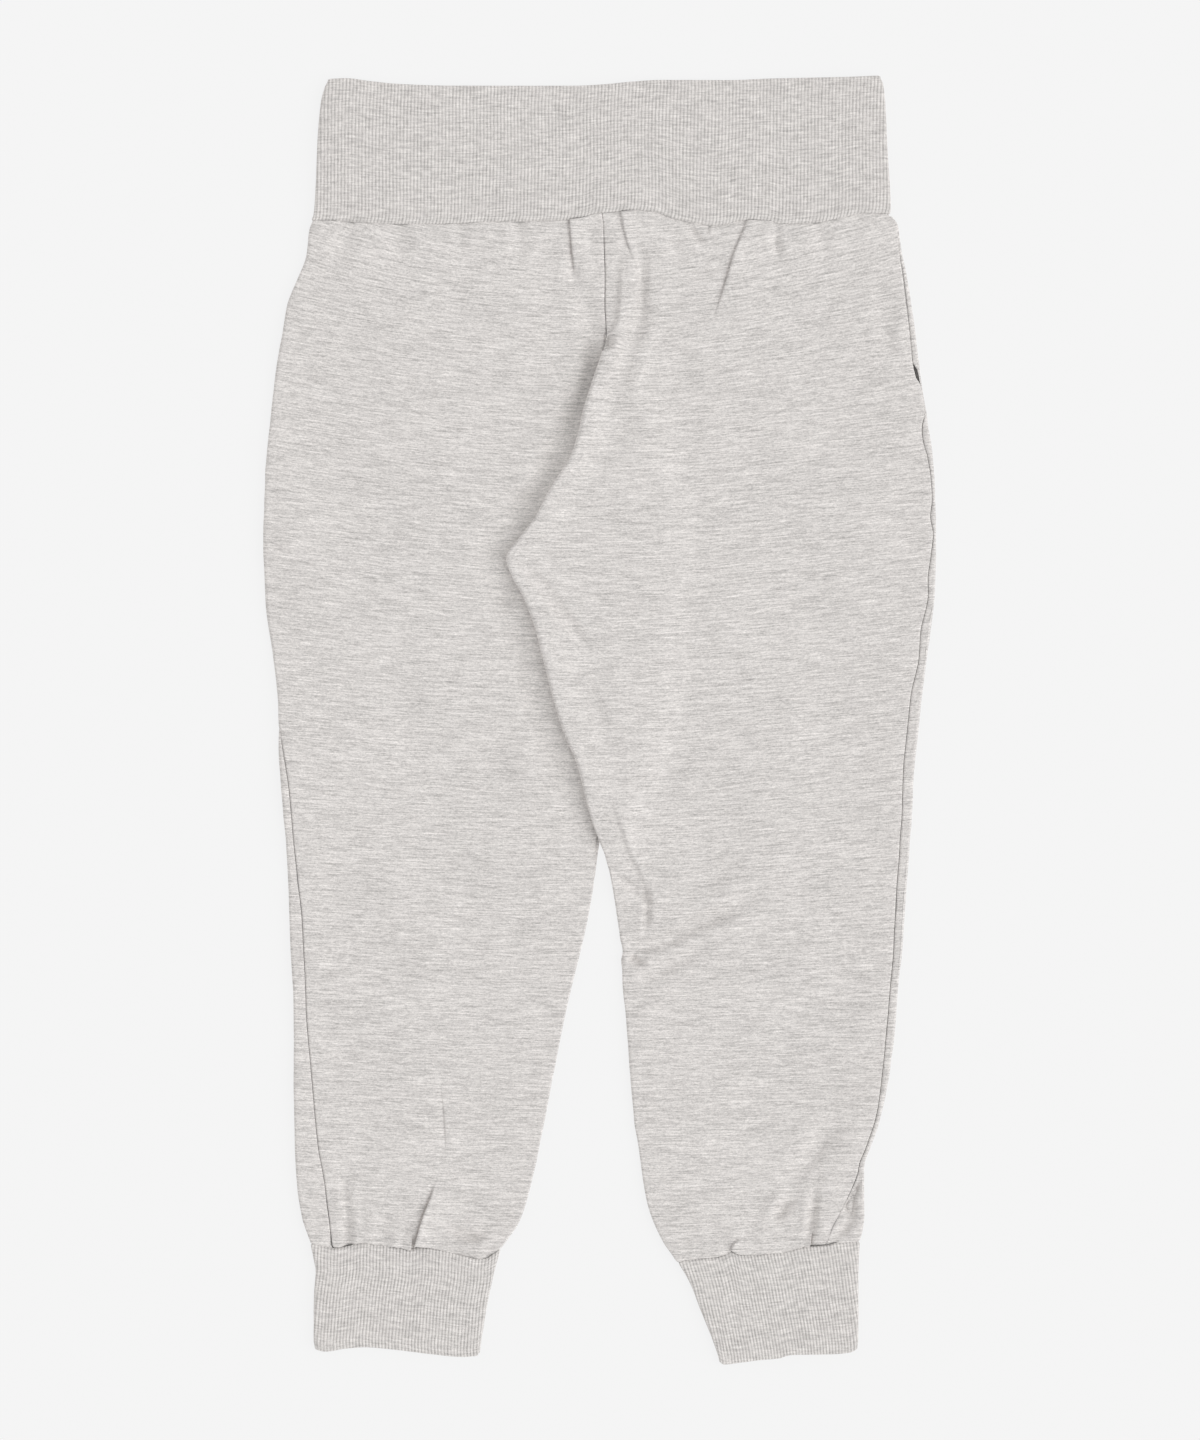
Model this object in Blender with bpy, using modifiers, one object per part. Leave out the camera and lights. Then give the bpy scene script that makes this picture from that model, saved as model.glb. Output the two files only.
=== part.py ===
"""Jogger sweatpants laid flat on a surface, front up, with the waist towards +Y.

The garment is two halves, each a flattened tube of jersey from the waist seam to the cuff seam: a
front and a back panel sewn along the outseam and, below the crotch, along the inseam. The wearer's
left half (+X) lies over the right half at the crotch, in one deep fold. A wide ribbed waistband and
two ribbed cuffs end the tubes, and a pocket bag hangs inside each outseam.

Units are metres. Tables are in millimetres and are scaled by MM.
"""

import math
from collections import namedtuple

import bpy
import numpy as np

MM = 0.001

# Cloth, and how high the flattened tubes stand.
JERSEY_WALL = 1.2 * MM
RIB_WALL = 2.0 * MM  # the ribbed knit is folded double
SEAM_GAP = 0.3 * MM
LAYER_GAP = 0.6 * MM  # between the half below and the half above it
LOFT_MIDDLE = 4.6 * MM  # height of a flattened tube well inside its edges
LOFT_EDGE = 6.2 * MM  # height at its outer rolled edge, over the pockets and at the ribs
EDGE_REACH = 45 * MM  # how far the height of an edge carries inwards
END_REACH = 60 * MM  # how far the height and the gathers carry from the waist and cuff seams

# The lie of the left half over the right one.
FOLD_TOP_Y = 292 * MM  # where the left half starts to climb over the right
FOLD_RISE = 20 * MM  # length over which it climbs
STEP_CLEAR = 8 * MM  # it stays up this far past the right half's inner edge
STEP_RUN = 30 * MM  # and comes down over this width
LEGS_PART_Y = -100 * MM  # below this the legs lie beside each other
LEGS_PART_RUN = 55 * MM

# Pocket bags, hung in the outseams.
MOUTH_TOP_Y, MOUTH_BOTTOM_Y = 340 * MM, 195 * MM
MOUTH_GAP = 1.4 * MM  # how far the mouth stands open
BAG_TOP_Y, BAG_BOTTOM_Y = 352 * MM, 90 * MM
BAG_WIDTH = 140 * MM
BAG_CLEAR = 8 * MM  # from the rolled edge of the hip
BAG_WALL, BAG_SLOT = 1.0 * MM, 0.5 * MM
BAG_CORNER = 50 * MM  # slant of the bag's lower inner corner
BAG_ROWS = 7

# Mesh density: how many steps a panel takes between the landmarks of its section.
LOOP_POINTS = 240
MIN_STEP = 0.9 * MM
END_STEP = 3.0 * MM  # least width of the last step of a panel
SAME_POINT = 1.5 * MM  # a rib leaves out columns closer than this
RUN_STEPS, ROLL_STEPS, STEP_STEPS = 8, 6, 3

# One row for each section of a half, from the waist seam to the cuff seam.
#   y_outer, y_inner   where the section meets the outer and the inner edge
#   outer, inner       x of the tube's outer and inner rolled edge
#   outseam            side seam, in from the outer edge: + over the front, - under the back
#   front, back        ends of the front and back panel, in from the inner edge: + on the upper
#                      layer, - on the lower layer
Section = namedtuple("Section", "y_outer y_inner outer inner outseam front back")

RIGHT_HALF = [
    Section(*row)
    for row in (
        (371, 371, -214, 6.0, 4, 4.5, -4.5),
        (340, 340, -220, 6.0, 4, 4.5, -4.5),
        (290, 290, -238, 6.0, 4, 4.5, -4.5),
        (282, 282, -239, 2.5, 4, 4.0, -1.0),
        (273, 273, -240, 5.0, 4, 5.0, 1.0),
        (264, 264, -242, 8.0, 4, 8.5, 8.5),
        (252, 252, -243, 13, 4, 13, 13),
        (225, 225, -246, 22, 4, 30, 30),
        (180, 180, -250, 33, 4, 51, 51),
        (127, 127, -251, 38, 4, 80, 80),
        (89, 89, -250, 37, 4, 61, 61),
        (45, 45, -244, 33, 4, 41, 41),
        (0, 0, -240, 26, 4, 23, 23),
        (-52, -52, -237, 12, 6, 10, 10),
        (-92, -92, -235, -1, 8, 4, 4),
        (-128, -128, -233, -6, 10, 4, 4),
        (-189, -189, -230, -19, 12, 4, 4),
        (-261, -261, -229, -35, 15, 4, 4),
        (-330, -330, -227, -48, 20, 4, 4),
        (-366, -369, -223, -59, 22, 4, 4),
        (-392, -397, -216, -75, 18, 4, 4),
    )
]

LEFT_HALF = [
    Section(*row)
    for row in (
        (371, 371, 219, -3.0, 4, 4.5, -4.5),
        (340, 340, 226, -3.0, 4, 4.5, -4.5),
        (290, 290, 235, -3.0, 6, 4.5, -4.5),
        (282, 282, 236, -1.0, 6, 1.0, -4.5),
        (273, 273, 237, -2.0, 5, -1.0, -5.0),
        (264, 264, 238, -4.0, 5, -6, -7),
        (252, 252, 239, -6, 5, -8, -8),
        (225, 225, 242, -15, 5, -10, -10),
        (180, 180, 248, -34, 5, -16, -16),
        (127, 127, 250, -71, 5, -29, -29),
        (89, 89, 248, -57, 7, -33, -33),
        (45, 45, 243, -43, 8, -35, -35),
        (0, 0, 237, -32, 10, -35, -35),
        (-52, -52, 232, -13, 9, -15, -15),
        (-92, -92, 229, 1, 8, -6, -6),
        (-128, -128, 227, 9, 8, -6, -6),
        (-189, -189, 222, 17, 8, -6, -6),
        (-261, -261, 215, 22, 7, -6, -6),
        (-316, -320, 203, 29, 7, -6, -6),
        (-348, -358, 196, 34, 13, -6, -6),
        (-389, -404, 193, 58, 28, -6, -6),
    )
]

# One row for each ring of a ribbed band, away from its seam; the seam itself is the panels' edge.
Ring = namedtuple("Ring", "y_right y_left right left")

WAISTBAND = [
    Ring(*row)
    for row in ((402, 402, -213, 215), (442, 442, -210, 213), (478, 479, -202, 207))
]
CUFF_RIGHT = [
    Ring(*row) for row in ((-412, -416, -212, -80), (-442, -445, -213, -86), (-470, -473, -210, -90))
]
CUFF_LEFT = [
    Ring(*row) for row in ((-427, -411, 68, 192), (-455, -445, 79, 191), (-478, -469, 89, 190))
]

# Where a line across the waist lifts or sinks from straight: centre, half width and height.
Swell = namedtuple("Swell", "x reach lift")
WAIST_SEAM_SWELLS = [Swell(22, 48, 7), Swell(202, 40, 5), Swell(-110, 80, -2)]
WAIST_EDGE_SWELLS = [Swell(-60, 140, -6)]


def ease(t):
    """0 below 0, 1 above 1, and a smooth step between."""
    t = min(max(t, 0.0), 1.0)
    return t * t * (3 - 2 * t)


def swell_at(swells, x):
    """Height of a line that bulges by cosine swells, at x."""
    total = 0.0
    for swell in swells:
        distance = abs(x / MM - swell.x) / swell.reach
        if distance < 1:
            total += swell.lift * (1 + math.cos(math.pi * distance)) / 2
    return total * MM


def column_at(table, name, y):
    """A column of a half's table at height y, straight between its rows."""
    heights = [-(row.y_outer + row.y_inner) / 2 * MM for row in table]
    return float(np.interp(-y, heights, [getattr(row, name) * MM for row in table]))


def loft_at(table, x, y):
    """Height of a half's flattened tube: more at its outer edge, over the pocket and at the ribs."""
    from_outer = abs(x - column_at(table, "outer", y))
    bag = ease((2 * BAG_CLEAR + BAG_WIDTH + EDGE_REACH - from_outer) / EDGE_REACH)
    bag *= ease((y - BAG_BOTTOM_Y + EDGE_REACH) / EDGE_REACH)
    seams_y = (table[0].y_outer * MM, max(table[-1].y_outer, table[-1].y_inner) * MM)
    weight = max(
        1 - ease(from_outer / EDGE_REACH),
        bag,
        *(1 - ease(abs(y - seam_y) / END_REACH) for seam_y in seams_y),
    )
    if y < seams_y[1]:
        weight = 1
    return LOFT_MIDDLE + (LOFT_EDGE - LOFT_MIDDLE) * weight


def lift_at(x, y):
    """Height of the left half's underside, which climbs over the right half and down past it."""
    edge = column_at(RIGHT_HALF, "inner", y)
    over = ease((FOLD_TOP_Y - y) / FOLD_RISE)
    over *= ease((y - LEGS_PART_Y + LEGS_PART_RUN) / LEGS_PART_RUN)
    over *= ease((edge + STEP_CLEAR + STEP_RUN - x) / STEP_RUN)
    return over * (loft_at(RIGHT_HALF, min(x, edge), y) + LAYER_GAP)


def on_floor(x, y):
    """Height of the underside of what lies on the surface."""
    return 0.0


class Loop:
    """The closed section of a flattened tube: over the top from start to end and back below."""

    def __init__(self, start, end, base, loft):
        start, end = np.array(start), np.array(end)
        self.width = float(np.linalg.norm(end - start))
        # Finer steps near both edges, where the cloth turns.
        self.spread = (1 - np.cos(np.linspace(0, math.pi, LOOP_POINTS))) / 2
        plan = [start + (end - start) * share for share in self.spread]
        lofts = np.array([loft(*point) for point in plan])
        bases = np.array([base(*point) for point in plan])
        radius = lofts[0] / 2 + (lofts[-1] - lofts[0]) / 2 * self.spread
        inside = np.minimum(self.spread, 1 - self.spread) * self.width
        turn = np.sqrt(1 - (1 - np.minimum(inside / radius, 1)) ** 2)
        top = np.column_stack((plan, bases + lofts / 2 * (1 + turn)))
        low = np.column_stack((plan, bases + lofts / 2 * (1 - turn)))
        self.points = np.vstack((top, low[-2::-1]))
        steps = np.linalg.norm(np.diff(self.points, axis=0), axis=1)
        self.lengths = np.concatenate(([0], np.cumsum(steps)))
        self.total = self.lengths[-1]
        self.half = self.lengths[LOOP_POINTS - 1]  # length at which the path turns under
        self.roll = math.pi / 4 * max(lofts[0], lofts[-1])  # half the length of a rolled edge

    def at(self, length):
        """The point at a length round the loop."""
        columns = (np.interp(length % self.total, self.lengths, axis) for axis in self.points.T)
        return tuple(float(value) for value in columns)

    def near_start(self, inset):
        """Length at a distance in from the start: + on the upper layer, - on the lower."""
        across = self.width * self.spread
        if inset >= 0:
            return float(np.interp(inset, across, self.lengths[:LOOP_POINTS]))
        below = self.lengths[LOOP_POINTS - 1 :][::-1]
        return float(np.interp(-inset, across, below)) - self.total

    def near_end(self, inset):
        """Length at a distance in from the end: + on the upper layer, - on the lower."""
        across = self.width * (1 - self.spread[::-1])
        if inset >= 0:
            return float(np.interp(inset, across, self.lengths[:LOOP_POINTS][::-1]))
        return float(np.interp(-inset, across, self.lengths[LOOP_POINTS - 1 :]))

    def nearest(self, point):
        """Length at which the loop comes nearest a point."""
        lengths = np.linspace(0, self.total, 40 * LOOP_POINTS)
        path = np.column_stack([np.interp(lengths, self.lengths, axis) for axis in self.points.T])
        return lengths[int(np.argmin(np.linalg.norm(path - np.array(point), axis=1)))]

    def carried(self, length, other):
        """The length on another loop that matches one on this, rolled edge to rolled edge."""
        marks = [
            (0, loop.roll, loop.half - loop.roll, loop.half + loop.roll, loop.total - loop.roll, loop.total)
            for loop in (self, other)
        ]
        return float(np.interp(length, *marks))

    def stepped(self, start, end, landmarks, last_step):
        """Points from one length to another, with so many steps up to each landmark's length."""
        marks, counts = [start], []
        for mark, steps in landmarks:
            marks.append(max(mark, marks[-1] + steps * MIN_STEP))
            counts.append(steps)
        marks.append(end)
        counts.append(1)
        marks[-2] = min(marks[-2], end - last_step)
        for index in range(len(counts) - 2, 0, -1):
            marks[index] = min(marks[index], marks[index + 1] - counts[index] * MIN_STEP)
        lengths = [start]
        for low, high, steps in zip(marks, marks[1:], counts):
            lengths += [low + (high - low) * step / steps for step in range(1, steps + 1)]
        return [self.at(length) for length in lengths]


def sheet(name, rows, closed, flip, wall, collection, colour):
    """A sheet through rows of points, thickened inwards into a wall of cloth."""
    count = len(rows[0])
    faces = []
    for r in range(len(rows) - 1):
        for c in range(count if closed else count - 1):
            corner, beside = r * count + c, r * count + (c + 1) % count
            face = (corner, beside, beside + count, corner + count)
            faces.append(face if flip else face[::-1])
    mesh = bpy.data.meshes.new(name)
    mesh.from_pydata([point for row in rows for point in row], [], faces)
    mesh.shade_smooth()
    mesh.set_sharp_from_angle(angle=math.radians(50))
    material = bpy.data.materials.new(name + "_cloth")
    material.use_nodes = True
    shader = material.node_tree.nodes["Principled BSDF"]
    shader.inputs["Base Color"].default_value = (*colour, 1)
    shader.inputs["Roughness"].default_value = 0.9
    mesh.materials.append(material)
    shell = bpy.data.objects.new(name, mesh)
    collection.objects.link(shell)
    solid = shell.modifiers.new("wall", "SOLIDIFY")
    solid.thickness = wall
    solid.offset = -1
    return shell


def gathered(points, seam_y):
    """Points near the waist seam, moved up or down to follow its gathered line."""
    share = [1 - ease((seam_y - y) / END_REACH) for _, y, _ in points]
    return [
        (x, y + part * swell_at(WAIST_SEAM_SWELLS, x), z) for part, (x, y, z) in zip(share, points)
    ]


def panel_rows(table, base, climbs):
    """Rows of points of the front and of the back panel of one half.

    climbs says that the half climbs over the other and has a step down past its inner edge."""
    seam_y = table[0].y_outer * MM
    fronts, backs = [], []
    for index, row in enumerate(table):
        inset = {0: -SEAM_GAP / 2, len(table) - 1: SEAM_GAP / 2}.get(index, 0.0)
        start = (row.outer * MM, row.y_outer * MM + inset)
        end = (row.inner * MM, row.y_inner * MM + inset)
        loop = Loop(start, end, base, lambda x, y: loft_at(table, x, y))
        inner_roll = (loop.half - loop.roll, RUN_STEPS), (loop.half + loop.roll, ROLL_STEPS)
        outer_roll = (loop.total - loop.roll, RUN_STEPS), (loop.total + loop.roll, ROLL_STEPS)
        step_down, step_up = (), ()
        if climbs:
            near = column_at(RIGHT_HALF, "inner", start[1]) + STEP_CLEAR - end[0]
            far = near + STEP_RUN
            step_down = (loop.near_end(far), RUN_STEPS), (loop.near_end(near), STEP_STEPS)
            step_up = (loop.near_end(-near), STEP_STEPS), (loop.near_end(-far), STEP_STEPS)
            inner_roll = (inner_roll[0][0], STEP_STEPS), inner_roll[1]
        else:
            step_down = ((loop.roll, 2),)
            step_up = (inner_roll[0][0], STEP_STEPS), inner_roll[1]

        side = loop.near_start(row.outseam * MM)
        open_by = MOUTH_GAP if MOUTH_BOTTOM_Y <= start[1] <= MOUTH_TOP_Y else 0.0
        first = side + SEAM_GAP / 2 + open_by
        last = loop.near_end(row.front * MM) - SEAM_GAP / 2
        fronts.append(loop.stepped(first, last, (*step_down, *inner_roll), END_STEP))
        first = loop.near_end(row.back * MM) + SEAM_GAP / 2
        last = loop.total + side - SEAM_GAP / 2
        backs.append(loop.stepped(first, last, (*step_up, *outer_roll), MIN_STEP))
    return [[gathered(row, seam_y) for row in rows] for rows in (fronts, backs)]


def thinned(points):
    """A closed row of points without those that nearly touch the one before."""
    kept = []
    for point in points:
        if not kept or math.dist(point, kept[-1]) > SAME_POINT:
            kept.append(point)
    if math.dist(kept[0], kept[-1]) < SAME_POINT:
        kept.pop()
    return kept


def rib_rows(seam, table, outwards, edge_swells=()):
    """Rows of a ribbed ring: the panels' edge moved out by a seam gap, then the table's rings."""

    def ring_loop(start, end):
        return Loop(start, end, on_floor, lambda x, y: LOFT_EDGE)

    across = [point[0] for point in seam]
    low, high = seam[int(np.argmin(across))], seam[int(np.argmax(across))]
    seam_loop = ring_loop(low[:2], high[:2])
    marks = [seam_loop.nearest(point) for point in seam]
    rows = [[(x, y + outwards * SEAM_GAP, z) for x, y, z in seam]]
    for index, ring in enumerate(table):
        loop = ring_loop((ring.right * MM, ring.y_right * MM), (ring.left * MM, ring.y_left * MM))
        share = (index + 1) / len(table) if edge_swells else 1
        row = []
        for mark in marks:
            x, y, z = loop.at(seam_loop.carried(mark, loop))
            y += (1 - share) * swell_at(WAIST_SEAM_SWELLS, x) + share * swell_at(edge_swells, x)
            row.append((x, y, z))
        rows.append(row)
    return rows


def pocket_bag(name, table, collection, colour):
    """A bag of two layers, folded along its inner edge and open along the outseam."""
    rows = []
    middle = LOFT_EDGE / 2
    rise = (BAG_SLOT + 2 * BAG_WALL) / 2
    for index in range(BAG_ROWS):
        y = BAG_TOP_Y + (BAG_BOTTOM_Y - BAG_TOP_Y) * index / (BAG_ROWS - 1)
        outer = column_at(table, "outer", y)
        inwards = -math.copysign(1, outer)
        depth = BAG_WIDTH - BAG_CORNER * ease(1 - (y - BAG_BOTTOM_Y) / (1.6 * BAG_CORNER))
        mouth = outer + inwards * BAG_CLEAR
        fold = mouth + inwards * depth
        turn = [
            (fold - inwards * rise * (1 - math.sin(a)), y, middle + rise * math.cos(a))
            for a in (0, math.pi / 4, math.pi / 2, 3 * math.pi / 4, math.pi)
        ]
        rows.append([(mouth, y, middle + rise), *turn, (mouth, y, middle - rise)])
    flip = column_at(table, "outer", 0) > 0
    return sheet(name, rows, False, flip, BAG_WALL, collection, colour)


def build():
    """All the pieces of the joggers."""
    for startup in list(bpy.data.objects):
        bpy.data.objects.remove(startup)
    joggers = bpy.data.collections.new("jogger_sweatpants")
    bpy.context.scene.collection.children.link(joggers)

    heather, rib, bag = (0.66, 0.64, 0.62), (0.60, 0.58, 0.56), (0.64, 0.62, 0.60)
    right_front, right_back = panel_rows(RIGHT_HALF, on_floor, False)
    left_front, left_back = panel_rows(LEFT_HALF, lift_at, True)
    sheet("front_right", right_front, False, False, JERSEY_WALL, joggers, heather)
    sheet("back_right", right_back, False, False, JERSEY_WALL, joggers, heather)
    sheet("front_left", left_front, False, True, JERSEY_WALL, joggers, heather)
    sheet("back_left", left_back, False, True, JERSEY_WALL, joggers, heather)

    waist = thinned(right_front[0] + left_front[0][::-1] + left_back[0][::-1] + right_back[0])
    rows = rib_rows(waist, WAISTBAND, 1, WAIST_EDGE_SWELLS)
    sheet("waistband", rows, True, True, RIB_WALL, joggers, rib)
    rows = rib_rows(thinned(right_front[-1] + right_back[-1]), CUFF_RIGHT, -1)
    sheet("cuff_right", rows, True, False, RIB_WALL, joggers, rib)
    rows = rib_rows(thinned((left_front[-1] + left_back[-1])[::-1]), CUFF_LEFT, -1)
    sheet("cuff_left", rows, True, False, RIB_WALL, joggers, rib)

    pocket_bag("pocket_right", RIGHT_HALF, joggers, bag)
    pocket_bag("pocket_left", LEFT_HALF, joggers, bag)


build()
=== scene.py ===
import math
from collections import namedtuple

import bpy
import numpy as np
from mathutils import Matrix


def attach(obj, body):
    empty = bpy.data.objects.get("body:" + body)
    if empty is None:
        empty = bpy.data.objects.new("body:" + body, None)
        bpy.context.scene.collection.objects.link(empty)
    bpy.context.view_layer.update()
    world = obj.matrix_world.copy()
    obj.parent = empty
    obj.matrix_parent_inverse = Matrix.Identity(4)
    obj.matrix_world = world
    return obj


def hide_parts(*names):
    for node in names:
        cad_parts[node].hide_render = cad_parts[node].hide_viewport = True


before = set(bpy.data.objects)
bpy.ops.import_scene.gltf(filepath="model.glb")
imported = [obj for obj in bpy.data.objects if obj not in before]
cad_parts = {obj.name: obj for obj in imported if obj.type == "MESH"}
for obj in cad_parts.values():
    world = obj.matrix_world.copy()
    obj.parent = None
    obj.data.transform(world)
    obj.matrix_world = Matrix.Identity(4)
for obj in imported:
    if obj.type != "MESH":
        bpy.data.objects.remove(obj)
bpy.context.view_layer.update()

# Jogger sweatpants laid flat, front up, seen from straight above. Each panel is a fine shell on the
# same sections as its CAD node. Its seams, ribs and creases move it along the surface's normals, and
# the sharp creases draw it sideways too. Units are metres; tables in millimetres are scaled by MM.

MM = 0.001


def rows_of(kind, *rows):
    """A table: rows with the named columns of a kind."""
    return [kind(*row) for row in rows]


# How high the flattened tubes stand, as in the CAD.
LAYER_GAP = 0.6 * MM
LOFT_MIDDLE, LOFT_EDGE = 4.6 * MM, 6.2 * MM
EDGE_REACH, END_REACH, SCALLOP_REACH = 45 * MM, 60 * MM, 24 * MM

# The lie of the left half over the right one.
FOLD_TOP_Y, FOLD_RISE = 292 * MM, 20 * MM
STEP_CLEAR, STEP_RUN = 8 * MM, 30 * MM
LEGS_PART_Y, LEGS_PART_RUN = -100 * MM, 55 * MM

# Pocket bags.
BAG_TOP_Y, BAG_BOTTOM_Y = 352 * MM, 90 * MM
BAG_WIDTH, BAG_CLEAR = 140 * MM, 8 * MM
BAG_WALL, BAG_SLOT, BAG_CORNER = 1.0 * MM, 0.5 * MM, 50 * MM
BAG_TAPER, BAG_ROWS, BAG_TURN_POINTS, BAG_RUN_POINTS = 1.6, 60, 9, 24

# The rolled edges are tighter across than they are high, and the fold over the right half stands up.
ROLL_SQUASH = 0.6
FOLD_REACH = 30 * MM
FOLD_STANDS = (
    (-110, 3.0), (-50, 3.6), (0, 4.0), (40, 5.2), (88, 6.0), (106, 4.0), (130, 4.0), (170, 6.0),
    (215, 7.0), (250, 6.0), (292, 3.0),
)

# Share of a normal's rise over which the cloth counts as the upper layer, and as the lower one.
UPPER_FROM, UPPER_RUN = -0.15, 0.5
LOWER_FROM, LOWER_RUN = 0.3, 0.4
# What lies on the floor is only drawn up from it, by this share of its creases.
UNDERSIDE_SHARE = 0.5
# A crease presses no cloth through the floor, or the front through the back.
LEAST_HEIGHT = {"front": 0.9 * MM, "back": 0.0}

# Where the fold begins, the front seam still holds the left front's edge down on the right front.
HELD_FROM_Y, HELD_TO_Y, HELD_RUN = 260 * MM, 290 * MM, 7 * MM
HELD_WIDTH, HELD_HEIGHT = 9 * MM, 2 * MM

# Seams: the cloth turns under at each panel's edge, and puckers a little along it.
SEAM_GAP = 0.3 * MM
SEAM_SINK, SEAM_WIDTH = 0.9 * MM, 0.6 * MM
GATHERED_SINK, GATHERED_WIDTH = 0.65 * MM, 0.8 * MM
SEAM_SOFT_SINK, SEAM_SOFT_WIDTH = 0.35 * MM, 4.0 * MM
PUCKER_DEPTH, PUCKER_PITCH, PUCKER_REACH = 0.16 * MM, 9.0 * MM, 5.0 * MM
PUCKER_SWING, PUCKER_SWING_RUN = 2.1, 23 * MM
# Share of the groove's depth along the side seams, from the cuff up.
SIDE_SEAM_SHARE = {
    "left": ((-400, 0.3), (-356, 0.35), (-342, 1), (371, 0.9)),
    "right": ((-400, 1), (371, 1)),
}

# The fullness gathered into the ribs: three sets of folds, each with its share of the pitch, and a
# swing that makes them uneven. Crowd is what their sum is divided by.
Gather = namedtuple("Gather", "height pitch reach seed")
WAIST_GATHER = Gather(0.30 * MM, 21 * MM, 20 * MM, 14)
CUFF_GATHER = Gather(0.45 * MM, 15 * MM, 16 * MM, 15)
GATHER_STRETCHES, GATHER_CROWD, GATHER_FALL = (0.7, 1.0, 1.45), 1.7, 1.5
GATHER_SWING, GATHER_SWING_PITCHES = 1.3, 3.1

# Ribs.
BAND_RIB_PITCH, CUFF_RIB_PITCH = 2.57 * MM, 2.45 * MM
RIB_HEIGHT, RIB_VERTICES = 0.45 * MM, 5
RIB_SINK, RIB_SINK_WIDTH, RIB_TUCK = 1.3 * MM, 0.7 * MM, 0.5 * MM
RIB_ROW, FIRST_RIB_ROWS = 4.5 * MM, (0.4, 1.0, 2.2)
# The form of a rib: how pointed it is, its middle height, how far its underside is drawn in (both in
# shares of its height), and its share of the cloth's unevenness.
RIB_POINT, RIB_MIDDLE, RIB_DRAWN_IN, RIB_UNEVEN = 0.8, 0.6, 0.45, 0.6
HEM_RADIUS, HEM_RETURN, HEM_STEPS = 1.1 * MM, 12 * MM, 7

# Fineness of the shells: rows lie closer near the ribs, where the creases are. Across, steps are
# counted by stretches: seam edges, runs, rolled edges and the short stretches between them.
ROW_STEP, FINE_ROW_STEP, FINE_ROWS = 2.2 * MM, 1.4 * MM, 85 * MM
LOOP_POINTS = 320
MIN_STEP = 0.1 * MM
EDGE_BAND, EDGE_STEPS = 3.0 * MM, 6
FRONT_RUN, BACK_RUN, ROLL_STEPS = 176, 54, 11
OUTER_STEPS, INNER_STEPS, WRAP_STEPS, UNDER_STEPS = 5, 3, 15, 12

# One row for each section of a half, from the waist seam to the cuff seam, in millimetres.
#   y              where the section meets the outer edge
#   outer, inner   x of the tube's outer and inner rolled edge
#   outseam        side seam, in from the outer edge: + over the front, - under the back
#   front, back    ends of the front and back panel, in from the inner edge: + on the upper layer,
#                  - on the lower one; they meet where back is left out
#   mouth          how far the outseam stands open, at the pocket
#   drop           how much lower the section meets the inner edge
Section = namedtuple("Section", "y_outer y_inner outer inner outseam front back mouth")


def section(y, outer, inner, outseam, front, back=None, mouth=0, drop=0):
    """A section, from the columns above."""
    back = front if back is None else back
    return Section(y, y - drop, outer, inner, outseam, front, back, mouth)


RIGHT_HALF = rows_of(
    section,
    (371, -214.5, 9, -3, 8.3, -8.3),
    (362, -217, 9, -3, 7.2, -8),
    (346, -219, 9, -3, 6.6, -8),
    (328, -226, 9, -3, 6, -8),
    (310, -233.5, 9, -3, 6.2, -8),
    (296, -236, 9, -3, 5.4, -7),
    (286, -237.5, 8, -3, 4.5, -4),
    (276, -239.5, 7, -3, 5.5, 1),
    (264, -241.5, 9, -3, 9.5),
    (252, -243, 13, -3, 13),
    (225, -246, 22, -3, 30),
    (180, -250, 33, -3, 51),
    (127, -251, 38, -3, 80),
    (89, -250, 37, -3, 61),
    (45, -244, 33, -3, 41),
    (6, -240, 27, -2, 24),
    (-19, -239.5, 20, 2.5, 17),
    (-52, -237, 11, 5, 10),
    (-92, -234.5, -1, 6, 2),
    (-119, -233, -4.5, 7.5, 0),
    (-155, -231.5, -11, 9.5, -2),
    (-209, -229, -24, 9.5, -3),
    (-262, -228.5, -35, 13, -3),
    (-316, -228, -45.5, 17.5, -3),
    (-349, -226, -53, 21, -3, -3, 0, 1),
    (-370, -222.5, -60, 20, -3, -3, 0, 2),
    (-392, -216, -74, 16.5, -3, -3, 0, 5),
)

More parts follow.
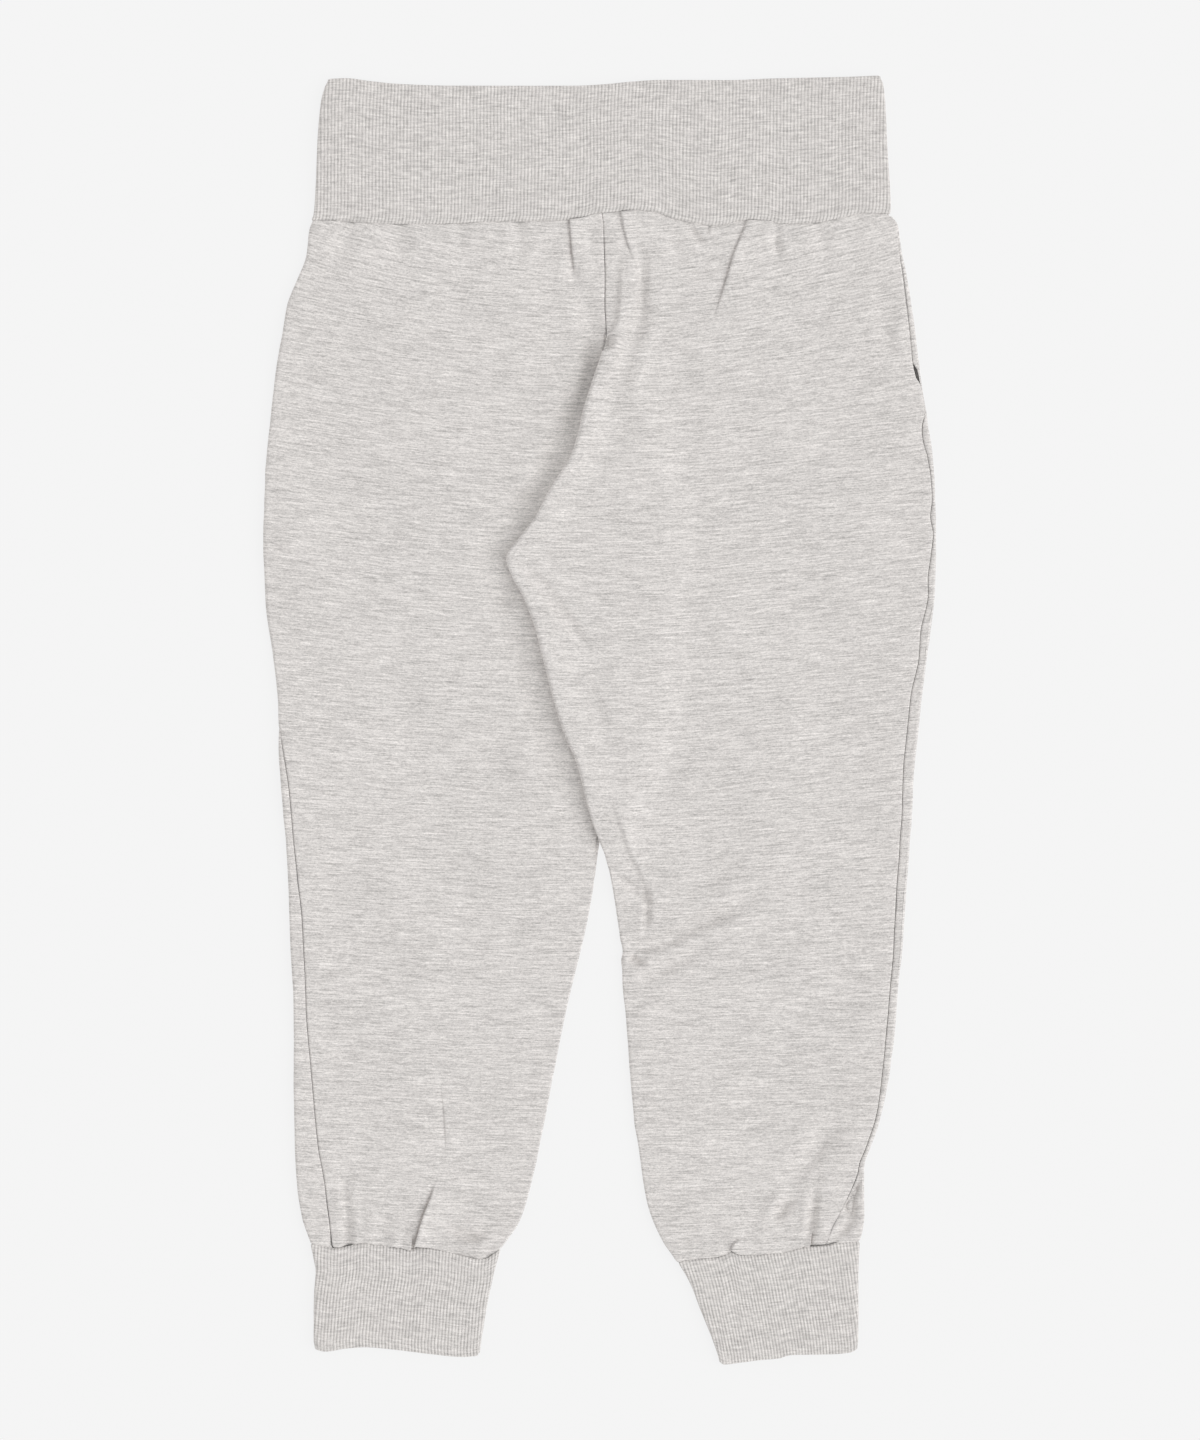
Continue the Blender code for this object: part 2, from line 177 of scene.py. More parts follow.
LEFT_HALF = rows_of(
    section,
    (371, 214.8, -6, 0.5, 6.7, -4.5),
    (368, 218, -6, 0.5, 6.9, -4.5),
    (363, 221.3, -6, 0.5, 7.2, -4.5),
    (357, 222.2, -6, 1, 7.8, -4.5, -0.15),
    (346, 223.8, -6, 2, 8.4, -4.5, -0.2),
    (328, 227.6, -6, 3, 9, -4.5, -0.2),
    (310, 230.7, -6, 3.7, 8.8, -4.5, -0.15),
    (296, 233, -6, 4.2, 9.6, -4.5, -0.15),
    (286, 234.4, -2, 4.4, 6.2, -4.5, -0.15),
    (276, 235.5, 0.6, 4.6, 1, -4.5, -0.15),
    (266, 236.8, -2, 4.8, -4.5, -6),
    (263.5, 237.1, -2.8, 4.2, -5.2, -6.2, 0.4),
    (261.5, 237.4, -3.5, 1.4, -5.8, -6.5, 3.2),
    (255.5, 238.2, -5.5, 0.5, -7, -7, 3.9),
    (251, 238.9, -7, 0.4, -7.6, -7.6, 2.0),
    (247, 239.4, -8.2, 0.4, -8.2, -8.2, 0.4),
    (240, 240.2, -10.6, 0.4, -9.2, -9.2, 0.1),
    (230, 242, -13.6, 0.6, -10, -10, 0.1),
    (218, 243, -16, 4.0, -11, -11, 0.1),
    (208, 245, -18.8, 5.3, -12),
    (195, 246.5, -23.6, 3.3, -14),
    (177, 248, -34.8, 2.2, -16),
    (166, 248.7, -41, 2.2, -19),
    (151, 249.4, -49, 4.2, -23),
    (139, 249.5, -58, 2.2, -26),
    (120, 249.5, -70.4, 4.2, -29),
    (105, 249, -65, 5.6, -31),
    (92, 248.5, -58, 5, -33),
    (66, 245.5, -48.2, 7.5, -34),
    (45, 242.5, -43.2, 6, -35),
    (17, 239, -36, 8.5, -35),
    (-12, 236, -27, 8.5, -30),
    (-30, 234, -19, 8.5, -22),
    (-52, 232, -13, 7.5, -15),
    (-70, 231.5, -8.4, 7.5, -9),
    (-90, 230, -1.4, 7.5, -6),
    (-101, 229.5, 3, 7.5, -6),
    (-119, 228, 7.5, 7.5, -6),
    (-155, 225.5, 13.2, 7, -6),
    (-176, 224, 16.4, 6.5, -6),
    (-191, 222, 15.8, 6, -6),
    (-226, 219, 19.4, 6, -6),
    (-262, 214.5, 22.5, 5, -6),
    (-298, 207, 24.8, 3, -6),
    (-316, 201, 27.8, 3, -6, -6, 0, 1),
    (-333, 196, 30.5, 4.2, -6, -6, 0, 4),
    (-350, 196, 33.8, 10.4, -6, -6, -0.2, 7),
    (-364, 196, 38.5, 17.2, -6, -6, -0.2, 8),
    (-378, 195, 47, 23.4, -6, -6, -0.2, 12),
    (-389, 193, 57, 26, -6, -6, -0.2, 15),
)

# The lines of the seams and hems at the ribs, in millimetres from image left to right.
WAIST_SEAM = (
    (-216, 372), (-188, 371.2), (-160, 369.8), (-124, 369), (-76, 371), (-28, 371.8), (-13, 374),
    (-4, 377), (12, 378), (26, 379.3), (40, 378), (53, 373.8), (68, 370.5), (85, 368), (108, 371.8),
    (122, 371.8), (138, 369), (160, 370.4), (172, 371.8), (186, 375.8), (197, 377), (216, 376.5),
)
WAIST_EDGE = (
    (-204, 475.8), (-190, 476.4), (-172, 474.2), (-148, 472), (-108, 470.8), (-20, 470.8), (4, 472),
    (20, 473.6), (44, 475.1), (96, 475), (124, 476.1), (180, 477.3), (208, 478.4),
)
CUFF_RIGHT_SEAM = (
    (-215, -390), (-206, -391.7), (-197, -393.4), (-188, -391.7), (-177, -389.4), (-168, -391),
    (-152, -392.4), (-142, -394), (-134, -392.4), (-116, -395.4), (-104, -398.4), (-92, -401.4),
    (-86, -401.2), (-80, -397.6), (-75, -394),
)
CUFF_RIGHT_EDGE = (
    (-213, -467.2), (-205, -468.8), (-190, -466.6), (-176, -465.6), (-152, -467.6), (-128, -470.6),
    (-103, -472.8), (-93, -472), (-90, -470),
)
CUFF_LEFT_SEAM = (
    (57, -404), (72, -401), (84, -400), (92, -398), (98, -395.2), (103, -398), (109, -398.4),
    (126, -397.4), (138, -396.1), (150, -392.9), (168, -391.2), (176, -389.4), (193, -388.2),
)
CUFF_LEFT_EDGE = (
    (87, -476), (92, -478.4), (104, -477), (120, -475), (132, -474), (142, -471.4), (172, -470.8),
    (185, -469.6), (190, -467.4),
)

# One row for each ring of a ribbed band: how far it is from its seam to its hem, and its two edges.
Ring = namedtuple("Ring", "share right left")

WAISTBAND = rows_of(
    Ring, (0, -216, 215), (0.05, -214, 215.5), (0.3, -212, 214.5), (0.64, -210, 213),
    (0.87, -207.5, 211), (0.96, -205, 209.5), (1, -203, 207.5),
)
CUFF_RIGHT = rows_of(
    Ring, (0, -216, -74.5), (0.13, -214, -78), (0.26, -212, -80.5), (0.48, -213, -84),
    (0.75, -213.3, -87.2), (0.93, -213.4, -89.5), (1, -212.4, -90),
)
CUFF_LEFT = rows_of(
    Ring, (0, 57.5, 192.5), (0.25, 67, 191.6), (0.5, 74, 191.2), (0.76, 82, 191),
    (0.95, 87.4, 190.9), (1, 88.6, 190.4),
)

# One row for each ribbed piece, with the turn from its seam outwards: 1 is up, -1 is down. Carry is
# how far its ribs run on past its narrowing edges instead of closing up.
Rib = namedtuple("Rib", "name rings pitch seam edge outwards carry knit")
RIBS = rows_of(
    Rib,
    ("waistband", WAISTBAND, BAND_RIB_PITCH, WAIST_SEAM, WAIST_EDGE, 1, 1.0, "band"),
    ("cuff_right", CUFF_RIGHT, CUFF_RIB_PITCH, CUFF_RIGHT_SEAM, CUFF_RIGHT_EDGE, -1, 0.9, "cuff"),
    ("cuff_left", CUFF_LEFT, CUFF_RIB_PITCH, CUFF_LEFT_SEAM, CUFF_LEFT_EDGE, -1, 0.7, "cuff"),
)

# The courses of the knit rise away from the middle: their tilt at each height, in degrees, which is
# full from COURSE_REACH on.
Course = namedtuple("Course", "y tilt")
COURSES = {
    "right": rows_of(
        Course, (371, 14), (350, 13), (320, 10.5), (290, 9), (250, 8.5), (130, 6), (10, 4.5),
        (-110, 3), (-270, 3), (-400, 2.5),
    ),
    "left": rows_of(
        Course, (371, 13), (350, 12), (320, 9.5), (290, 8), (250, 6.5), (130, 5), (-70, 5),
        (-110, 4), (-190, 2), (-290, 1), (-400, 3),
    ),
}
COURSE_REACH = {"right": 170 * MM, "left": 110 * MM}
# The backs are cut from another place on the cloth.
CUT_SHIFT = {"front": 0.0, "back": 0.37 * BAG_WIDTH}

# The main creases of each panel.
#   path     points in millimetres
#   depth    of the crease; below 0 a dent is a ridge, and a lap or a rise raises the left side
#   width    how far it carries sideways
#   start, end   share of the depth at the path's two ends; 0 where they are left out
#   kind     a dent is a soft trough, a valley a sharp one; a lap raises the cloth to the right of the
#            path, seen from its start, and hangs over at the path; a rise is the same, but soft
Crease = namedtuple("Crease", "path depth width start end kind", defaults=[0, 0, "dent"])

CREASES = {}
CREASES["front_right"] = rows_of(
    Crease,
    (((-22.5, 373), (-21.5, 360), (-20.5, 346), (-19.5, 334)), -2.8, 8, 1, 0.3, "lap"),
    (((-21, 352), (-20, 338), (-22, 318)), 2.4, 5, 0.7),
    (((-8, 376), (-10, 352), (-7, 326)), 1.3, 5, 0.8),
    (((-62, 369), (-60, 354), (-63, 336)), 1.5, 5, 1),
    (((-104, 368), (-106, 352), (-101, 336)), 1.3, 5, 1),
    (((-150, 369), (-152, 356), (-149, 338)), 1.3, 6, 1),
    (((-186, 372), (-192, 352), (-204, 330)), 1.6, 8, 0.7),
    (((-128, 318), (-100, 306), (-66, 300)), 1.2, 9),
    (((-18, 330), (-9, 300), (-7, 278)), 2, 7, 0.2, 0.8),
    (((1, 300), (-2, 272), (-16, 234), (-36, 190)), 3.2, 9, 0.1, 0.7),
    (((0, 280), (-2.5, 271), (-5.5, 262), (-9, 253)), 6, 2.6, 0.3, 0, "valley"),
    (((-35, 192), (-62, 146), (-86, 122), (-72, 92)), 2.4, 9, 0.7, 0.7),
    (((-72, 92), (-60, 60), (-46, 10), (-25, -45), (-12, -76)), 2.4, 10, 0.7, 0.5),
    (((-45, 172), (-62, 160), (-92, 158)), 1.8, 7, 0.6),
    (((-175, 60), (-150, 20), (-140, -30)), 0.9, 14),
    (((-58, 20), (-74, -20), (-96, -52)), 1.6, 11),
    (((-30, -140), (-58, -150), (-90, -146)), 1.2, 8, 0.3),
    (((-121, -250), (-119, -270), (-116, -292), (-115, -322)), 0.5, 4, 0, 0.8),
    (((-120, -262), (-117, -290), (-115.5, -312), (-116.5, -332)), -0.8, 8, 0, 0, "lap"),
    (((-123, -343), (-126.5, -358), (-131.2, -371), (-137.5, -393)), -4.4, 9, 0, 1, "lap"),
    (((-140.5, -386), (-143, -395)), 3.4, 4, 0.3, 1, "lap"),
    (((-113, -376), (-105, -383), (-94, -384.5), (-84, -377)), 4.2, 3.6, 0.3, 0.1),
    (((-112, -388), (-96, -392), (-82, -388)), -1.8, 5, 0.2, 0.4),
    (((-193, -334), (-190, -360), (-188, -392)), 2.2, 3.8, 0, 1),
    (((-160, -364), (-162, -378), (-164, -392)), 1.7, 5, 0, 1),
    (((-203, -392), (-195, -394), (-184, -391.5), (-172, -390.5)), 2.2, 1.8, 1, 0.5),
)
CREASES["front_left"] = rows_of(
    Crease,
    (((15, 345), (14.2, 327), (12.6, 299), (4.8, 285), (1, 272)), -3.2, 16, 0.1, 1, "rise"),
    (((14.9, 380), (18.1, 363), (21.5, 351), (25.2, 341)), -1.8, 8, 1, 0.1, "lap"),
    (((27.5, 354), (30.5, 340), (30.5, 318), (27.5, 292)), 1.9, 3.4, 0.3),
    (((31, 346), (32, 316), (24, 284), (10, 242), (4, 222)), 3.4, 6.5, 0.2),
    (((109, 371), (105, 360), (100, 348), (94, 327), (83, 296)), -2.4, 12, 0.6, 0, "lap"),
    (((80.5, 367), (79, 360)), 1.6, 1.5, 1, 0.2, "valley"),
    (((64, 370), (69, 362), (77, 353)), 3, 3.2, 0.4, 0.1),
    (((130, 369), (130, 358), (133, 341)), 2.4, 3.6, 0.7),
    (((52, 375), (56, 354), (52, 330)), 1.3, 6, 0.6),
    (((160, 370), (166, 350), (164, 330)), 1.3, 6, 0.8),
    (((60, 330), (76, 331), (90, 335)), 1.8, 3, 0.2, 0.2),
    (((206, 345), (208, 318), (211, 290), (214, 250)), 1.3, 6),
    (((222, 340), (224, 310), (226, 285)), -1, 5, 0.3),
    (((62, 300), (64, 250), (54, 200)), 1, 12),
    (((-56, 112), (-44, 100), (-34, 86), (-20, 67), (-3, 44)), 2.6, 4.2, 0.7),
    (((-12, 26), (-2, 6), (4, -14)), 1.6, 6),
    (((4, -52), (13.4, -75), (20, -96), (29, -114), (37, -132)), -3, 9, 0, 0.8, "rise"),
    (((34, -122), (34.5, -140), (32.5, -164)), 2.2, 2.6, 0.6),
    (((8.7, -113), (20, -122), (34, -131)), 2.6, 3.5, 0.4, 0.5),
    (((24.5, -178.5), (27, -180.2), (30, -180.6)), 5.5, 3, 1, 0.6),
    (((25, -171), (50, -164), (71, -152), (91, -143), (120, -128)), 4.6, 6, 0.6),
    (((34, -191), (60, -178), (84, -165)), 3.4, 5.5, 0.5),
    (((60, -124), (80, -117), (108, -106)), 2, 7),
    (((150, 40), (166, 0), (168, -40)), 0.9, 14),
    (((126, -200), (140, -240), (138, -280)), 0.9, 12),
    (((96, -400), (98.2, -391.5), (101.5, -387.5), (107, -386)), 1.8, 4, 1, 0.3, "lap"),
    (((159.5, -344), (158.5, -360), (157.5, -370), (155, -384)), 3.2, 3.4, 0.2, 0.9),
    (((157, -382), (155.5, -386), (154.3, -393)), 3.2, 3, 0.5, 1, "lap"),
    (((144, -355), (133.5, -365), (127.5, -375)), 3.4, 5, 0.2, 0.1),
    (((138, -348), (128, -362), (120, -376)), -2.2, 4.5),
    (((183, -297), (165, -314), (149, -333), (136, -352)), 4.4, 8),
    (((168, -332), (160, -341), (150, -346)), 2.6, 7),
    (((76, -366), (84, -378), (92, -386)), 1.5, 5, 0, 0.2),
    (((151, -392.5), (162, -391.5), (174, -390)), 2.2, 1.6, 1, 1),
)
CREASES["back_left"] = rows_of(
    Crease,
    (((192, -344), (188.5, -353), (185, -361.5)), 6.5, 2.8, 0.3, 0.9, "valley"),
    (((185.5, -361), (186, -371), (180, -380), (174, -386)), 3, 3.4, 1, 0.6),
    (((166, -391), (174, -390)), 2.2, 1.6, 1, 1),
    (((36, 371), (40, 352), (37, 330)), 1.8, 6, 1),
    (((92, 370), (88, 350), (95, 322)), 2.2, 7, 1),
    (((158, 371), (160, 346), (154, 326)), 2, 7, 1),
    (((20, -150), (62, -164), (120, -152)), 2.4, 10, 0.4),
    (((218, -138), (176, -154), (140, -150)), 2, 9, 0.4),
    (((78, -400), (82, -380), (76, -358)), 2.2, 5, 1),
    (((128, -396), (124, -372), (130, -346)), 2.4, 6, 1),
)
CREASES["back_right"] = rows_of(
    Crease,
    (((-182, 371), (-176, 350), (-184, 322)), 1.8, 7, 1),
    (((-118, 370), (-124, 346), (-118, 320)), 2.2, 7, 1),
    (((-58, 371), (-54, 354), (-60, 332)), 1.8, 6, 1),
    (((-6, 60), (-40, 44), (-84, 50)), 2.2, 10, 0.4),
    (((-18, -138), (-62, -150), (-112, -140)), 2.4, 10, 0.4),
    (((-226, -118), (-188, -134), (-152, -132)), 2, 9, 0.4),
    (((-198, -391), (-194, -368), (-199, -344)), 2.2, 5, 1),
    (((-146, -393), (-150, -372), (-143, -350)), 2, 6, 1),
    (((-98, -398), (-104, -378), (-100, -356)), 2.2, 5, 1),
)

# How sharp a crease's lip is: its width, how far it hangs over, the groove under it (both in shares
# of the depth), and how far the mesh's columns are drawn together there.
Lip = namedtuple("Lip", "width over groove draw")
LIPS = {
    "lap": Lip(0.5 * MM, 0.45, 0.45, 0.7),
    "rise": Lip(2.0 * MM, 0.0, 0.1, 0.0),
    "valley": Lip(0.5 * MM, 0.0, 0.0, 0.7),
}

# A crease has its full depth between two shares of its length. A dent has low banks, in shares of
# its depth and width. A lip fades beyond its path's ends, draws the mesh in near it, and has a groove
# in front of it, all in widths of the lip.
FULL_FROM, FULL_TO = 0.4, 0.65
BANK_SHARE, BANK_AWAY = 0.3, 1.9
LIP_END, LIP_NEAR, GROOVE_AWAY, GROOVE_WIDTH = 2, 5, 1.5, 2.5
LIP_STEEP, CLOTH_FALL = 5, 1.5
PATH_PIECES = 14

# Unevenness of the cloth: a few broad waves in every direction, and finer ones, in millimetres.
Waves = namedtuple("Waves", "count longest shortest height seed")
BROAD_WAVES = Waves(14, 190, 70, 0.75, 11)
FINE_WAVES = Waves(26, 42, 15, 0.16, 12)
RIB_WAVES = BROAD_WAVES._replace(seed=13)
RIB_WANDER = Waves(12, 110, 60, 0.25, 16)

# Cuts of the pieces: widest and longest in metres, flat area in square metres where the cut isn't a
# rectangle, and what each piece lies on.
Cut = namedtuple("Cut", "width length area rests_on", defaults=[None, ["floor"]])

# The photo's frame: what the camera sees, and from how far.
VIEW_HEIGHT, VIEW_X, CAMERA_Z = 1.0728, -0.0007, 3.6
SENSOR, FARTHEST_SEEN = 36.0, 50
FLOOR_SIZE, FLOOR_DROP = 12, 0.0002

# Light and colour. Height, spread and turn are in degrees; colours are linear.
Lamp = namedtuple("Lamp", "name power height spread turn")
LAMPS = rows_of(Lamp, ("key", 1.55, 40, 54, -12), ("fill", 0.60, 16, 80, 160))
ROOM_LIGHT = 0.64
FLOOR_SHADE, FLOOR_GLOW = 0.09, 0.82
JERSEY_COLOUR = (0.657, 0.630, 0.611)
RIB_COLOUR = (0.629, 0.603, 0.584)

# The noise is cut through its cells at a slant, so that the marks do not line up in rows or columns.
NOISE_SLANT, NOISE_MIDDLE = (0.62, 0.47), 0.5
# One row for each kind of mark in the heather: its length and thickness in millimetres, how strong
# it is, and the turn of its noise inside the cells, in degrees.
Mark = namedtuple("Mark", "along across strength turn")
JERSEY_MARKS = rows_of(
    Mark,
    (21, 0.92, 0.50, 24),
    (8, 0.88, 0.42, -28),
    (2.4, 0.88, 0.44, 33),
    (0.9, 0.75, 0.44, -20),
    (70, 12, 0.06, 30),
)
RIB_MARKS = rows_of(
    Mark,
    (12, 1.05, 0.46, 22),
    (5, 1.0, 0.32, -26),
    (1.3, 5.5, 0.28, 10),
    (0.9, 0.8, 0.30, -20),
)
# The long marks come and go in clusters.
CLUSTER = Mark(50, 4, 0.5, -25)
# Painted shade and light on the ribs: how far a rib's crest is painted lighter than its valley, where
# the shade falls, and the patches over which that comes and goes.
BAND_RIB_PAINTED_SHADE, CUFF_RIB_PAINTED_SHADE, MIDDLE_CREST = 0.30, 0.38, 0.62
RIB_PAINTED_SHADE_PATCH = Mark(14, 9, 1.1, 30)
LEAST_SHADE = 0.3
# How far the long marks stand out, and the cloth's shader: dull, with a little sheen.
BUMP_STRENGTH, BUMP_HEIGHT = 0.2, 0.4 * MM
CLOTH_SHADER = {
    "Roughness": 0.92,
    "Specular IOR Level": 0.25,
    "Sheen Weight": 0.3,
    "Sheen Roughness": 0.5,
    "Sheen Tint": (0.95, 0.94, 0.92, 1),
}
FLOOR_SHADER = {
    "Base Color": (FLOOR_SHADE, FLOOR_SHADE, FLOOR_SHADE, 1),
    "Roughness": 0.9,
    "Specular IOR Level": 0.0,
    "Emission Color": (1, 1, 1, 1),
    "Emission Strength": FLOOR_GLOW,
}


# Shape helpers


def ease(t):
    """0 below 0, 1 above 1, and a smooth step between."""
    t = np.clip(t, 0.0, 1.0)
    return t * t * (3 - 2 * t)


def bell(t):
    """1 at 0, falling smoothly to nothing on both sides."""
    return np.exp(-(t**2))


def monotone(knots, values, at):
    """A smooth curve through values at rising knots that never overshoots them."""
    knots, values, at = (np.asarray(a, dtype=float) for a in (knots, values, at))
    steps = np.diff(knots)
    slopes = np.diff(values) / steps
    tangents = np.zeros_like(values)
    tangents[0], tangents[-1] = slopes[0], slopes[-1]
    before, after = slopes[:-1], slopes[1:]
    same = before * after > 0
    total = np.where(same, before + after, 1.0)
    tangents[1:-1] = np.where(same, 2 * before * after / total, 0.0)
    at = np.clip(at, knots[0], knots[-1])
    index = np.clip(np.searchsorted(knots, at, side="right") - 1, 0, len(steps) - 1)
    h = steps[index]
    t = (at - knots[index]) / h
    low, high = values[index], values[index + 1]
    return (
        (1 + 2 * t) * (1 - t) ** 2 * low
        + t * (1 - t) ** 2 * h * tangents[index]
        + t * t * (3 - 2 * t) * high
        - t * t * (1 - t) * h * tangents[index + 1]
    )


def column_at(table, name, y):
    """A column of a half's table at height y, in metres."""
    heights = [-(row.y_outer + row.y_inner) / 2 * MM for row in table]
    return monotone(heights, [getattr(row, name) * MM for row in table], -np.asarray(y))


def line_at(line, x):
    """Value in metres of a line of (place, value) pairs in millimetres, at a place in metres."""
    knots, values = zip(*line)
    return monotone(knots, values, x / MM) * MM


def loft_at(table, x, y):
    """Height of a half's tube: more at its outer edge, over the pocket and at the ribs."""
    from_outer = np.abs(x - column_at(table, "outer", y))
    bag = ease((2 * BAG_CLEAR + BAG_WIDTH + EDGE_REACH - from_outer) / EDGE_REACH)
    bag = bag * ease((y - BAG_BOTTOM_Y + EDGE_REACH) / EDGE_REACH)
    top, bottom = table[0].y_outer * MM, max(table[-1].y_outer, table[-1].y_inner) * MM
    weights = (
        1 - ease(from_outer / EDGE_REACH),
        bag,
        1 - ease(np.abs(y - top) / END_REACH),
        1 - ease((y - bottom) / END_REACH),
    )
    return LOFT_MIDDLE + (LOFT_EDGE - LOFT_MIDDLE) * np.maximum.reduce(weights)


def lift_at(x, y):
    """Height of the left half's underside, which climbs over the right half and down past it."""
    edge = column_at(RIGHT_HALF, "inner", y)
    over = ease((FOLD_TOP_Y - y) / FOLD_RISE)
    over = over * ease((y - LEGS_PART_Y + LEGS_PART_RUN) / LEGS_PART_RUN)
    over = over * ease((edge + STEP_CLEAR + STEP_RUN - x) / STEP_RUN)
    return over * (loft_at(RIGHT_HALF, np.minimum(x, edge), y) + LAYER_GAP)


def right_loft_at(x, y):
    """Height of the right half's tube."""
    return loft_at(RIGHT_HALF, x, y)


def rib_loft_at(x, _):
    """Height of a ribbed tube."""
    return np.full_like(x, LOFT_EDGE)


def fold_loft_at(x, y):
    """Height of the left half's tube, which stands up at its fold over the right half."""
    inside = np.abs(x - column_at(LEFT_HALF, "inner", y))
    over = ease((FOLD_TOP_Y - y) / FOLD_RISE) * ease((y - LEGS_PART_Y) / LEGS_PART_RUN)
    stands = line_at(FOLD_STANDS, y)
    return loft_at(LEFT_HALF, x, y) + stands * over * (1 - ease(inside / FOLD_REACH))


def on_floor(x, _):
    """Height of the underside of what lies on the surface."""
    return np.zeros_like(x)


class Loop:
    """The closed section of a flattened tube: over the top from start to end and back below."""

    def __init__(self, start, end, base, loft):
        start, end = np.array(start), np.array(end)
        self.width = float(np.linalg.norm(end - start))
        self.spread = (1 - np.cos(np.linspace(0, math.pi, LOOP_POINTS))) / 2
        plan = start + (end - start) * self.spread[:, None]
        lofts, bases = loft(plan[:, 0], plan[:, 1]), base(plan[:, 0], plan[:, 1])
        radius = lofts[0] / 2 + (lofts[-1] - lofts[0]) / 2 * self.spread
        inside = np.minimum(self.spread, 1 - self.spread) * self.width
        turn = np.sqrt(1 - (1 - np.minimum(inside / (ROLL_SQUASH * radius), 1)) ** 2)
        top = np.column_stack((plan, bases + lofts / 2 * (1 + turn)))
        low = np.column_stack((plan, bases + lofts / 2 * (1 - turn)))
        self.points = np.vstack((top, low[-2::-1]))
        steps = np.linalg.norm(np.diff(self.points, axis=0), axis=1)
        self.lengths = np.concatenate(([0], np.cumsum(steps)))
        self.total = self.lengths[-1]
        self.half = self.lengths[LOOP_POINTS - 1]
        self.roll = math.pi / 4 * (1 + ROLL_SQUASH) * max(lofts[0], lofts[-1]) / 2

    def at(self, lengths):
        """The points at lengths round the loop."""
        lengths = np.asarray(lengths) % self.total
        return np.column_stack([np.interp(lengths, self.lengths, axis) for axis in self.points.T])

    def near_start(self, inset):
        """Length at a distance in from the start: + on the upper layer, - on the lower."""
        across = self.width * self.spread
        if inset >= 0:
            return float(np.interp(inset, across, self.lengths[:LOOP_POINTS]))
        below = self.lengths[LOOP_POINTS - 1 :][::-1]
        return float(np.interp(-inset, across, below)) - self.total

    def near_end(self, inset):
        """Length at a distance in from the end: + on the upper layer, - on the lower."""
        across = self.width * (1 - self.spread[::-1])
        if inset >= 0:
            return float(np.interp(inset, across, self.lengths[:LOOP_POINTS][::-1]))
        return float(np.interp(-inset, across, self.lengths[LOOP_POINTS - 1 :]))


def stepped(start, end, landmarks):
    """Lengths from start to end, with so many steps up to each landmark and then to the end."""
    marks, counts = [start], []
    for mark, steps in landmarks:
        marks.append(max(mark, marks[-1] + steps * MIN_STEP))
        counts.append(steps)
    marks.append(end)
    counts.append(EDGE_STEPS)
    marks[-2] = end - EDGE_BAND
    for index in range(len(counts) - 2, 0, -1):
        marks[index] = min(marks[index], marks[index + 1] - counts[index] * MIN_STEP)
    lengths = [np.array([start])]
    for low, high, steps in zip(marks, marks[1:], counts):
        lengths.append(low + (high - low) * np.arange(1, steps + 1) / steps)
    return np.concatenate(lengths)


def lower_share(normals):
    """1 where the cloth faces the floor, 0 where it doesn't."""
    return ease((-normals[..., 2] - LOWER_FROM) / LOWER_RUN)


def normals_of(points):
    """Unit normals of a grid of points, rows by columns."""
    down, across = np.gradient(points, axis=0), np.gradient(points, axis=1)
    normals = np.cross(across, down)
    return normals / np.maximum(np.linalg.norm(normals, axis=2, keepdims=True), 1e-12)


def waves_at(waves, x, y):
    """Gentle unevenness at points: a sum of waves of seeded direction, length and phase."""
    random = np.random.default_rng(waves.seed)
    total = np.zeros_like(x)
    for _ in range(waves.count):
        length = random.uniform(waves.shortest * MM, waves.longest * MM)
        heading, phase = random.uniform(0, 2 * math.pi, 2)
        along = x * math.cos(heading) + y * math.sin(heading)
        total += np.sin(2 * math.pi * along / length + phase)
    return total * waves.height * MM / math.sqrt(waves.count)


def smooth_path(points):
    """A smooth curve through a crease's few points."""
    points = np.array(points) * MM
    lengths = np.concatenate(([0], np.cumsum(np.linalg.norm(np.diff(points, axis=0), axis=1))))
    at = np.linspace(0, lengths[-1], PATH_PIECES + 1)
    if len(points) < 3:
        return np.column_stack([np.interp(at, lengths, axis) for axis in points.T])
    return np.column_stack([monotone(lengths, axis, at) for axis in points.T])


def along_path(path, x, y):
    """Where points lie by a path: how far off, how far to its right, how far along, and which way
    its right is."""
    best = np.full(x.shape, np.inf)
    side, share, right_x, right_y = (np.zeros_like(x) for _ in range(4))
    for index, (a, b) in enumerate(zip(path, path[1:])):
        dx, dy = b - a
        from_x, from_y = x - a[0], y - a[1]
        length = math.hypot(dx, dy)
        held = np.clip((from_x * dx + from_y * dy) / length**2, 0, 1)
        distance = np.hypot(from_x - held * dx, from_y - held * dy)
        nearer = distance < best
        best = np.where(nearer, distance, best)
        side = np.where(nearer, (from_x * dy - from_y * dx) / length, side)
        share = np.where(nearer, (index + held) / PATH_PIECES, share)
        right_x = np.where(nearer, dy / length, right_x)
        right_y = np.where(nearer, -dx / length, right_y)
    return best, side, share, right_x, right_y


